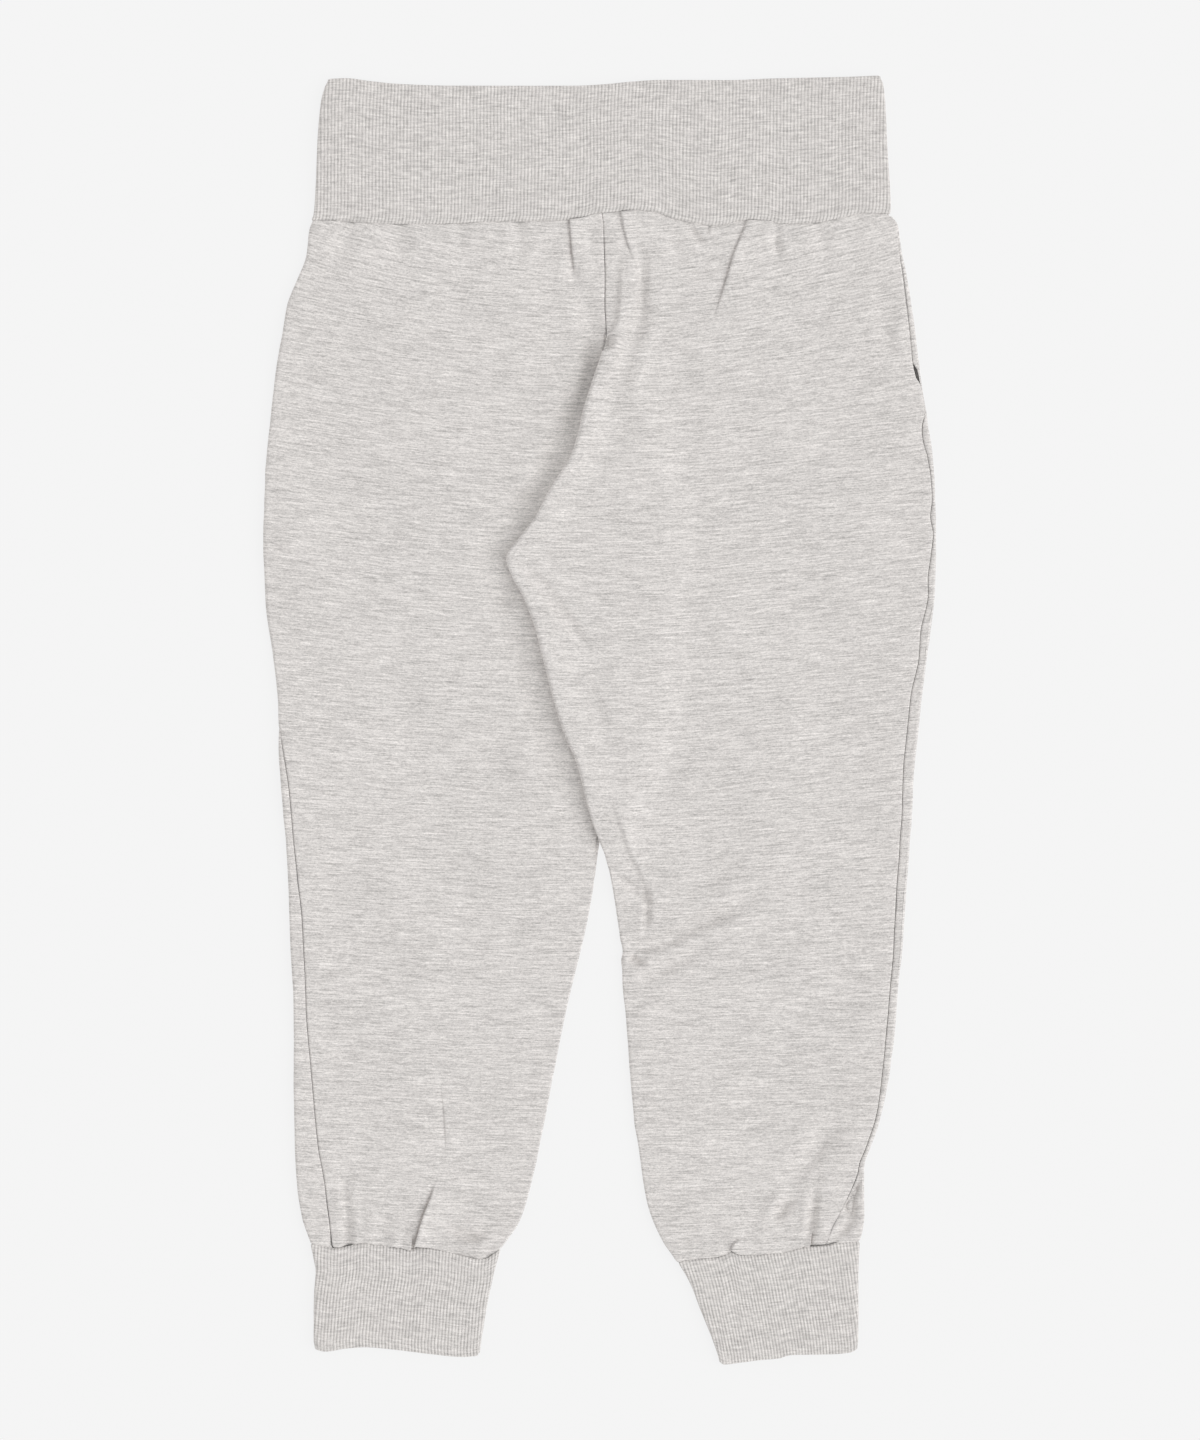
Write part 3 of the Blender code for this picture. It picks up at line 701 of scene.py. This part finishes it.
def crease_at(crease, x, y):
    """How far a crease lifts each point of a panel, and how far it draws it along x and y."""
    width, depth = crease.width * MM, crease.depth * MM
    best, side, share, right_x, right_y = along_path(smooth_path(crease.path), x, y)
    strength = np.interp(share, (0, FULL_FROM, FULL_TO, 1), (crease.start, 1, 1, crease.end))
    if crease.kind == "dent":
        trough = bell(best / width)
        banks = bell((best - BANK_AWAY * width) / width)
        return strength * depth * (BANK_SHARE * banks - trough), 0.0, 0.0
    lip = LIPS[crease.kind]
    turn = 1 if depth > 0 else -1
    raised = turn * side
    beyond = np.maximum(best - np.abs(side), 0)
    here = strength * bell(beyond / (LIP_END * lip.width))
    close = bell(raised / (LIP_NEAR * lip.width))
    drawn = raised * (1 - lip.draw * np.minimum(here, 1) * close)
    if crease.kind == "valley":
        lift = -strength * depth * np.exp(-np.hypot(drawn, beyond) / width)
        moved = drawn - raised
        return lift, right_x * moved, right_y * moved
    rise = (1 + np.tanh(drawn / lip.width * LIP_STEEP / 2)) / 2
    fall = np.exp(-((np.maximum(drawn, 0) / width) ** CLOTH_FALL))
    groove = bell((drawn + GROOVE_AWAY * lip.width) / (GROOVE_WIDTH * lip.width))
    lift = here * abs(depth) * (rise * fall - lip.groove * groove)
    moved = drawn - raised - lip.over * abs(depth) * here * rise * fall
    return lift, turn * right_x * moved, turn * right_y * moved


def gathered(points, line, seam_y):
    """Rows of points near the waist seam, moved up or down to follow its gathered line."""
    share = 1 - ease((seam_y - points[..., 1]) / END_REACH)
    points[..., 1] += share * (line_at(line, points[..., 0]) - seam_y)
    return points


def scalloped(points, line, last_row):
    """Rows of points near a cuff seam, moved to follow its uneven line."""
    x0, y0 = last_row.outer * MM, last_row.y_outer * MM
    x1, y1 = last_row.inner * MM, last_row.y_inner * MM
    straight = y0 + (y1 - y0) * (points[..., 0] - x0) / (x1 - x0)
    share = 1 - ease((points[..., 1] - straight) / SCALLOP_REACH)
    points[..., 1] += share * (line_at(line, points[..., 0]) - straight)
    return points


def gather_at(gather, x, away):
    """Small uneven folds that run away from a gathered seam."""
    random = np.random.default_rng(gather.seed)
    total = np.zeros_like(x)
    for stretch in GATHER_STRETCHES:
        phase, bend = random.uniform(0, 2 * math.pi, 2)
        pitch = stretch * gather.pitch
        swing = GATHER_SWING * np.sin(x / (GATHER_SWING_PITCHES * pitch) + bend)
        total += np.sin(2 * math.pi * x / pitch + phase + swing)
    fall = np.exp(-((away / gather.reach) ** GATHER_FALL))
    return gather.height * total / GATHER_CROWD * fall


def row_heights(top, bottom):
    """Heights of a panel's rows, closer together near its two ends."""
    at = [top]
    while at[-1] > bottom:
        near = min(top - at[-1], at[-1] - bottom)
        step = FINE_ROW_STEP + (ROW_STEP - FINE_ROW_STEP) * float(ease(near / FINE_ROWS - 0.5))
        at.append(at[-1] - step)
    at = np.array(at)
    return top + (at - top) * (bottom - top) / (at[-1] - top)


# Meshes


def placed(name, data):
    """A new object in the scene."""
    thing = bpy.data.objects.new(name, data)
    bpy.context.scene.collection.objects.link(thing)
    return thing


def quads(ids):
    """The faces of a grid of corners, four corners each."""
    faces = np.stack((ids[:-1, :-1], ids[1:, :-1], ids[1:, 1:], ids[:-1, 1:]), axis=-1)
    return faces.reshape(-1, 4)


def grid_mesh(name, points, coordinates, closed=False):
    """A piece through a grid of points, with a UV layer of the cloth's own coordinates in metres."""
    ids = np.arange(points[..., 0].size).reshape(points.shape[:2])
    if closed:
        ids = np.column_stack((ids, ids[:, 0]))
    # Coordinates have a column of their own for the closing faces.
    corners = quads(np.arange(ids.size).reshape(ids.shape)).reshape(-1)
    mesh = bpy.data.meshes.new(name)
    mesh.from_pydata(points.reshape(-1, 3).tolist(), [], quads(ids).tolist())
    mesh.shade_smooth()
    layer = mesh.uv_layers.new(name="cloth")
    layer.data.foreach_set("uv", coordinates.reshape(-1, 2)[corners].astype(np.float32).ravel())
    return placed(name + "_cloth", mesh)


def declare(piece, node, material):
    """Gives a piece its material, puts it under the root body and hides the CAD part it stands for.
    """
    piece.data.materials.append(material)
    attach(piece, "root")
    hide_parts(node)


def faced_outwards(points, middle):
    """Outward normals of a tube's panel: middle is a point inside each row of its section."""
    normals = normals_of(points)
    outwards = points - middle
    if np.sum(normals * outwards) < 0:
        normals = -normals
    return normals


def front_lengths(loop, row):
    """Lengths round a section at which the front panel has its columns."""
    first = loop.near_start(row["outseam"]) + SEAM_GAP / 2 + row["mouth"]
    last = loop.near_end(row["front"]) - SEAM_GAP / 2
    landmarks = [
        (first + EDGE_BAND, EDGE_STEPS),
        (loop.roll, OUTER_STEPS),
        (loop.half - loop.roll, FRONT_RUN),
        (loop.half + loop.roll, ROLL_STEPS),
        (last - EDGE_BAND, INNER_STEPS),
    ]
    return stepped(first, last, landmarks)


def back_lengths(loop, row, side):
    """Lengths round a section at which the back panel has its columns."""
    first = loop.near_end(row["back"]) + SEAM_GAP / 2
    last = loop.total + loop.near_start(row["outseam"]) - SEAM_GAP / 2
    landmarks = [(first + EDGE_BAND, INNER_STEPS)]
    if side == "right":
        landmarks.append((loop.half - loop.roll, UNDER_STEPS))
        landmarks.append((loop.half + loop.roll, ROLL_STEPS))
    landmarks.append((loop.total - loop.roll, BACK_RUN))
    landmarks.append((loop.total + loop.roll, ROLL_STEPS))
    landmarks.append((last - EDGE_BAND, WRAP_STEPS))
    return stepped(first, last, landmarks)


def half_panels(side, table, base, loft, cuff_line):
    """The front and the back of one half, as fine shells."""
    levels = np.array([(row.y_outer + row.y_inner) / 2 * MM for row in table])
    heights = row_heights(levels[0], levels[-1])
    values = {name: column_at(table, name, heights) for name in Section._fields}
    # The end rows stop half a seam's gap short.
    insets = np.zeros_like(heights)
    insets[0], insets[-1] = -SEAM_GAP / 2, SEAM_GAP / 2
    grids = {"front": [], "back": []}
    lengths = {"front": [], "back": []}
    middles = []
    for index, inset in enumerate(insets):
        row = {name: column[index] for name, column in values.items()}
        start = (row["outer"], row["y_outer"] + inset)
        end = (row["inner"], row["y_inner"] + inset)
        loop = Loop(start, end, base, loft)
        front, back = front_lengths(loop, row), back_lengths(loop, row, side)
        grids["front"].append(loop.at(front))
        grids["back"].append(loop.at(back))
        lengths["front"].append(front)
        lengths["back"].append(back - loop.total)
        middles.append(loop.at([0, loop.half]).mean(axis=0))
    middle = np.array(middles)[:, None, :]
    rows = np.concatenate(([0], np.cumsum(-np.diff(heights))))
    pieces = {}
    for name in grids:
        points, along = np.array(grids[name]), np.array(lengths[name])
        points = gathered(points, WAIST_SEAM, table[0].y_outer * MM)
        points = scalloped(points, cuff_line, table[-1])
        grain = cloth_coordinates(points, along, side, CUT_SHIFT[name])
        shaped = shaped_panel(name, side, points, middle, along, rows)
        pieces[name] = grid_mesh(f"{name}_{side}", shaped, grain)
    return pieces


def cloth_coordinates(points, along, side, shift):
    """The cloth's own coordinates: along the courses from the side seam, and across them."""
    table = COURSES[side]
    slopes = [math.tan(math.radians(row.tilt)) for row in table]
    slope = monotone([-row.y * MM for row in table], slopes, -points[..., 1])
    away, reach = np.abs(points[..., 0]), COURSE_REACH[side]
    rise = np.where(away < reach, away**2 / (2 * reach), away - reach / 2)
    return np.stack((along + shift, points[..., 1] - slope * rise + shift), axis=-1)


def held_at_seam(points, from_seam):
    """Heights of the left front, with its edge held down where the fold begins."""
    y, z = points[..., 1], points[..., 2]
    held = ease((y - HELD_FROM_Y) / HELD_RUN) * ease((HELD_TO_Y - y) / HELD_RUN)
    held = held * (1 - ease(from_seam / HELD_WIDTH))
    return z + held * np.minimum(HELD_HEIGHT - z, 0)


def seam_sink(side, y, from_side, from_inner, from_ends):
    """How deep the cloth turns in at a panel's seams."""
    edge = np.minimum(from_side, from_inner)
    sink = SEAM_SINK * bell(edge / SEAM_WIDTH)
    sink *= np.where(from_side < from_inner, line_at(SIDE_SEAM_SHARE[side], y) / MM, 1)
    sink = np.maximum(sink, GATHERED_SINK * bell(from_ends / GATHERED_WIDTH))
    return sink + SEAM_SOFT_SINK * bell(np.minimum(edge, from_ends) / SEAM_SOFT_WIDTH)


def shaped_panel(part, side, points, middle, along, rows):
    """A panel's points with its seams, creases and unevenness."""
    normals = faced_outwards(points, middle)
    x, y = points[..., 0], points[..., 1]
    upper = ease((normals[..., 2] - UPPER_FROM) / UPPER_RUN)
    below_waist, above_cuff = (away[:, None] * np.ones_like(x) for away in (rows, rows[-1] - rows))
    height, drawn_x, drawn_y = (np.zeros_like(x) for _ in range(3))
    for crease in CREASES[f"{part}_{side}"]:
        lift, along_x, along_y = crease_at(crease, x, y)
        height += lift
        drawn_x += along_x
        drawn_y += along_y
    height += waves_at(BROAD_WAVES, x, y) + waves_at(FINE_WAVES, x, y)
    height += gather_at(WAIST_GATHER, x, below_waist)
    height += gather_at(CUFF_GATHER, x, above_cuff)
    creased = upper * height - UNDERSIDE_SHARE * lower_share(normals) * np.abs(height)
    from_side, from_inner = along - along[:, :1], along[:, -1:] - along
    if part == "back":
        from_side, from_inner = from_inner, from_side
    sink = seam_sink(side, y, from_side, from_inner, np.minimum(below_waist, above_cuff))
    puckers = np.sin(2 * math.pi * y / PUCKER_PITCH + PUCKER_SWING * np.sin(y / PUCKER_SWING_RUN))
    puckers *= PUCKER_DEPTH * bell(np.minimum(from_side, from_inner) / PUCKER_REACH)
    flat = np.clip(np.abs(normals[..., 2]), 0, 1)
    moved = creased + flat * puckers * upper - sink
    drawn = np.stack((upper * drawn_x, upper * drawn_y, np.zeros_like(x)), axis=-1)
    shaped = points + drawn + normals * moved[..., None]
    shaped[..., 2] = np.maximum(shaped[..., 2], LEAST_HEIGHT[part])
    if (part, side) == ("front", "left"):
        shaped[..., 2] = held_at_seam(shaped, from_inner)
    return shaped


def band_sections(rib, share):
    """Points round a ribbed piece at shares of its length, with each rib's phase."""
    knots = [row.share for row in rib.rings]
    right = monotone(knots, [row.right * MM for row in rib.rings], share)
    left = monotone(knots, [row.left * MM for row in rib.rings], share)
    loops = [Loop((a, 0.0), (b, 0.0), on_floor, rib_loft_at) for a, b in zip(right, left)]
    ribs = int(round(loops[0].total / rib.pitch))
    phase = np.arange(ribs * RIB_VERTICES) / RIB_VERTICES
    rows = []
    for loop in loops:
        carry = rib.carry * (loops[0].half - loop.half) / 2
        marks = (-carry, loop.half + carry, loop.total - carry)
        rows.append(loop.at(np.interp(phase / ribs, (0, 0.5, 1), marks)))
    return np.array(rows), phase, ribs


def ribbed_ring(rib):
    """A ribbed piece: ribs from the seam to the hem, where the knit folds back inside."""
    length = abs(rib.seam[0][1] - rib.edge[0][1]) * MM
    share = np.linspace(0, 1, int(round(length / RIB_ROW)) + 1)
    near_seam = np.array(FIRST_RIB_ROWS) * MM / length
    share = np.concatenate((share[:1], near_seam, share[1:]))
    points, phase, ribs = band_sections(rib, share)
    weight = share[:, None]
    seam_y, edge_y = (line_at(line, points[..., 0]) for line in (rib.seam, rib.edge))
    points[..., 1] = (1 - weight) * (seam_y - rib.outwards * RIB_TUCK) + weight * edge_y
    points[..., 0] += waves_at(RIB_WANDER, points[..., 0], points[..., 1])
    middle = points.mean(axis=1, keepdims=True)
    closed = np.concatenate((points[:, -1:], points, points[:, :1]), axis=1)
    normals = faced_outwards(closed, middle)[:, 1:-1]
    crest = np.abs(np.sin(math.pi * phase)) ** RIB_POINT
    lower = lower_share(normals)
    out = share * length
    height = RIB_HEIGHT * (crest - RIB_MIDDLE - RIB_DRAWN_IN * lower)
    height -= RIB_SINK * bell(out / RIB_SINK_WIDTH)[:, None]
    uneven = waves_at(RIB_WAVES, points[..., 0], points[..., 1])
    height += (1 - lower) * RIB_UNEVEN * uneven
    outer = points + normals * height[..., None]
    curl = hem_curl(outer, normals, rib.outwards)
    across = np.concatenate((phase, [ribs])) * rib.pitch
    folded = out[-1] + np.arange(1, len(curl) + 1) * HEM_RADIUS
    grain = np.stack(np.meshgrid(across, np.concatenate((out, folded))), axis=-1)
    return grid_mesh(rib.name, np.concatenate((outer, curl)), grain, closed=True)


def hem_curl(outer, normals, outwards):
    """Rows that carry a band's last row over the hem's fold and back inside."""
    last, normal = outer[-1], normals[-1]
    rows = []
    for angle in np.linspace(0, math.pi, HEM_STEPS)[1:]:
        reach = np.array([0, outwards * HEM_RADIUS * math.sin(angle), 0])
        rows.append(last + reach - normal * HEM_RADIUS * (1 - math.cos(angle)))
    back = np.array([0, -outwards * HEM_RETURN, 0])
    rows += [rows[-1] + back * share for share in (0.5, 1)]
    return np.array(rows)


def pocket_bag(side, table):
    """A pocket bag: two layers of thin jersey, folded along the inner edge, open at the side."""
    middle, rise = LOFT_EDGE / 2, (BAG_SLOT + 2 * BAG_WALL) / 2
    heights = np.linspace(BAG_TOP_Y, BAG_BOTTOM_Y, BAG_ROWS)
    outer = column_at(table, "outer", heights)
    inwards = -np.sign(outer[0])
    taper = BAG_CORNER * ease(1 - (heights - BAG_BOTTOM_Y) / (BAG_TAPER * BAG_CORNER))
    mouth = outer + inwards * BAG_CLEAR
    fold = mouth + inwards * (BAG_WIDTH - taper)
    rows = []
    for y, x_mouth, x_fold in zip(heights, mouth, fold):
        angles = np.linspace(0, math.pi, BAG_TURN_POINTS)
        turn_x = x_fold - inwards * rise * (1 - np.sin(angles))
        turn_z = middle + rise * np.cos(angles)
        run = np.linspace(x_mouth, turn_x[0], BAG_RUN_POINTS)[:-1]
        x = np.concatenate((run, turn_x, run[::-1]))
        over, under = np.full_like(run, middle + rise), np.full_like(run, middle - rise)
        z = np.concatenate((over, turn_z, under))
        rows.append(np.column_stack((x, np.full_like(x, y), z)))
    points = np.array(rows)
    steps = np.linalg.norm(np.diff(points, axis=1), axis=2)
    across = np.concatenate((np.zeros((len(points), 1)), np.cumsum(steps, axis=1)), axis=1)
    return grid_mesh(f"pocket_{side}", points, np.stack((across, points[..., 1]), axis=-1))


# Materials


def shader_of(material):
    """A new material's node tree, its shader and a function that adds nodes."""
    material.use_nodes = True
    tree = material.node_tree
    shader = tree.nodes["Principled BSDF"]

    def add(kind, settings=(), inputs=()):
        node = tree.nodes.new(kind)
        for key, value in dict(settings).items():
            setattr(node, key, value)
        for key, value in dict(inputs).items():
            if hasattr(value, "node"):
                tree.links.new(value, node.inputs[key])
            else:
                node.inputs[key].default_value = value
        return node

    return tree, shader, add


def maths(add, operation, *values):
    """A maths node on numbers or sockets."""
    return add("ShaderNodeMath", {"operation": operation}, dict(enumerate(values))).outputs[0]


def marks(add, coordinates, mark):
    """Noise about 0, with marks of a length along the courses and a thickness across them."""
    scale = (1 / (mark.along * MM), 1 / (mark.across * MM), 1)
    turn = (*NOISE_SLANT, math.radians(mark.turn))
    mapping = {"Vector": coordinates, "Scale": scale, "Rotation": turn}
    vector = add("ShaderNodeMapping", {}, mapping).outputs[0]
    noise = add("ShaderNodeTexNoise", {}, {"Vector": vector, "Scale": 1.0, "Detail": 0.0})
    return maths(add, "SUBTRACT", noise.outputs["Fac"], NOISE_MIDDLE)


def heather(name, base, mark_table, rib_pitch=None, rib_painted_shade=0.0):
    """Heather knit: pale and dark fibres mixed along the courses; given a rib pitch, also painted
    shade in the rib valleys and painted light on their crests.
    """
    material = bpy.data.materials.new(name)
    tree, shader, add = shader_of(material)
    uv = add("ShaderNodeUVMap", {"uv_map": "cloth"}).outputs[0]
    cluster = marks(add, uv, CLUSTER)
    cluster = maths(add, "MULTIPLY_ADD", cluster, CLUSTER.strength, 1.0)
    total = 1.0
    for index, mark in enumerate(mark_table):
        value = marks(add, uv, mark)
        if index == 0:
            value = maths(add, "MULTIPLY", value, cluster)
            relief = value
        total = maths(add, "MULTIPLY_ADD", value, mark.strength, total)
    # Painted shade: the rib valleys are darkened and the crests lightened in the colour, as light and
    # shade fall on the ribs, unevenly over patches.
    if rib_pitch:
        split = add("ShaderNodeSeparateXYZ", {}, {0: uv})
        turn = maths(add, "MULTIPLY", split.outputs["X"], math.pi / rib_pitch)
        crest = maths(add, "ABSOLUTE", maths(add, "SINE", turn))
        patch = marks(add, uv, RIB_PAINTED_SHADE_PATCH)
        depth = maths(add, "MULTIPLY_ADD", patch, RIB_PAINTED_SHADE_PATCH.strength * rib_painted_shade, rib_painted_shade)
        rib = maths(add, "SUBTRACT", crest, MIDDLE_CREST)
        total = maths(add, "MULTIPLY_ADD", rib, depth, total)
    total = maths(add, "MAXIMUM", total, LEAST_SHADE)
    shade = add("ShaderNodeVectorMath", {"operation": "SCALE"}, {0: base, "Scale": total})
    tree.links.new(shade.outputs[0], shader.inputs["Base Color"])
    bumps = {"Height": relief, "Strength": BUMP_STRENGTH, "Distance": BUMP_HEIGHT}
    bump = add("ShaderNodeBump", {}, bumps)
    tree.links.new(bump.outputs[0], shader.inputs["Normal"])
    for socket, value in CLOTH_SHADER.items():
        shader.inputs[socket].default_value = value
    return material


def floor_material():
    """Plain pale paper, lit a little from below as on a light table."""
    material = bpy.data.materials.new("floor_paper")
    _, shader, _ = shader_of(material)
    for socket, value in FLOOR_SHADER.items():
        shader.inputs[socket].default_value = value
    return material


# Stage


def make_floor():
    """A wide pale surface under the garment."""
    bpy.ops.mesh.primitive_plane_add(size=FLOOR_SIZE, location=(0, 0, -FLOOR_DROP))
    floor = bpy.context.object
    floor.name = "floor"
    floor.data.materials.append(floor_material())


def make_camera():
    """Straight above, with the photo's frame."""
    data = bpy.data.cameras.new("camera")
    data.sensor_fit = "VERTICAL"
    data.sensor_height = SENSOR
    data.lens = SENSOR * CAMERA_Z / VIEW_HEIGHT
    data.clip_end = FARTHEST_SEEN
    camera = placed("camera", data)
    camera.location = (VIEW_X, 0, CAMERA_Z)
    bpy.context.scene.camera = camera


def soft_sun(lamp):
    """A broad distant lamp at a height and a turn round the vertical."""
    data = bpy.data.lights.new(lamp.name, "SUN")
    data.energy, data.angle = lamp.power, math.radians(lamp.spread)
    sun = placed(lamp.name, data)
    sun.rotation_euler = (0, math.radians(90 - lamp.height), math.radians(lamp.turn))


def make_lights():
    """Soft studio light: a broad key from the right, a weak low fill from the left, a room."""
    for lamp in LAMPS:
        soft_sun(lamp)
    world = bpy.data.worlds.new("studio")
    world.use_nodes = True
    room = world.node_tree.nodes["Background"].inputs
    room["Color"].default_value = (1, 1, 1, 1)
    room["Strength"].default_value = ROOM_LIGHT
    bpy.context.scene.world = world
    bpy.context.scene.view_settings.view_transform = "Standard"


def build():
    """The whole scene."""
    make_camera()
    make_lights()
    make_floor()
    jersey = heather("heather_jersey", JERSEY_COLOUR, JERSEY_MARKS)
    knits = {
        "band": heather("band_rib", RIB_COLOUR, RIB_MARKS, BAND_RIB_PITCH, BAND_RIB_PAINTED_SHADE),
        "cuff": heather("cuff_rib", RIB_COLOUR, RIB_MARKS, CUFF_RIB_PITCH, CUFF_RIB_PAINTED_SHADE),
    }
    right = half_panels("right", RIGHT_HALF, on_floor, right_loft_at, CUFF_RIGHT_SEAM)
    left = half_panels("left", LEFT_HALF, lift_at, fold_loft_at, CUFF_LEFT_SEAM)
    for side, panels in (("right", right), ("left", left)):
        for part, panel in panels.items():
            declare(panel, f"{part}_{side}", jersey)
    for rib in RIBS:
        declare(ribbed_ring(rib), rib.name, knits[rib.knit])
    for side, table in (("left", LEFT_HALF), ("right", RIGHT_HALF)):
        declare(pocket_bag(side, table), f"pocket_{side}", jersey)


build()
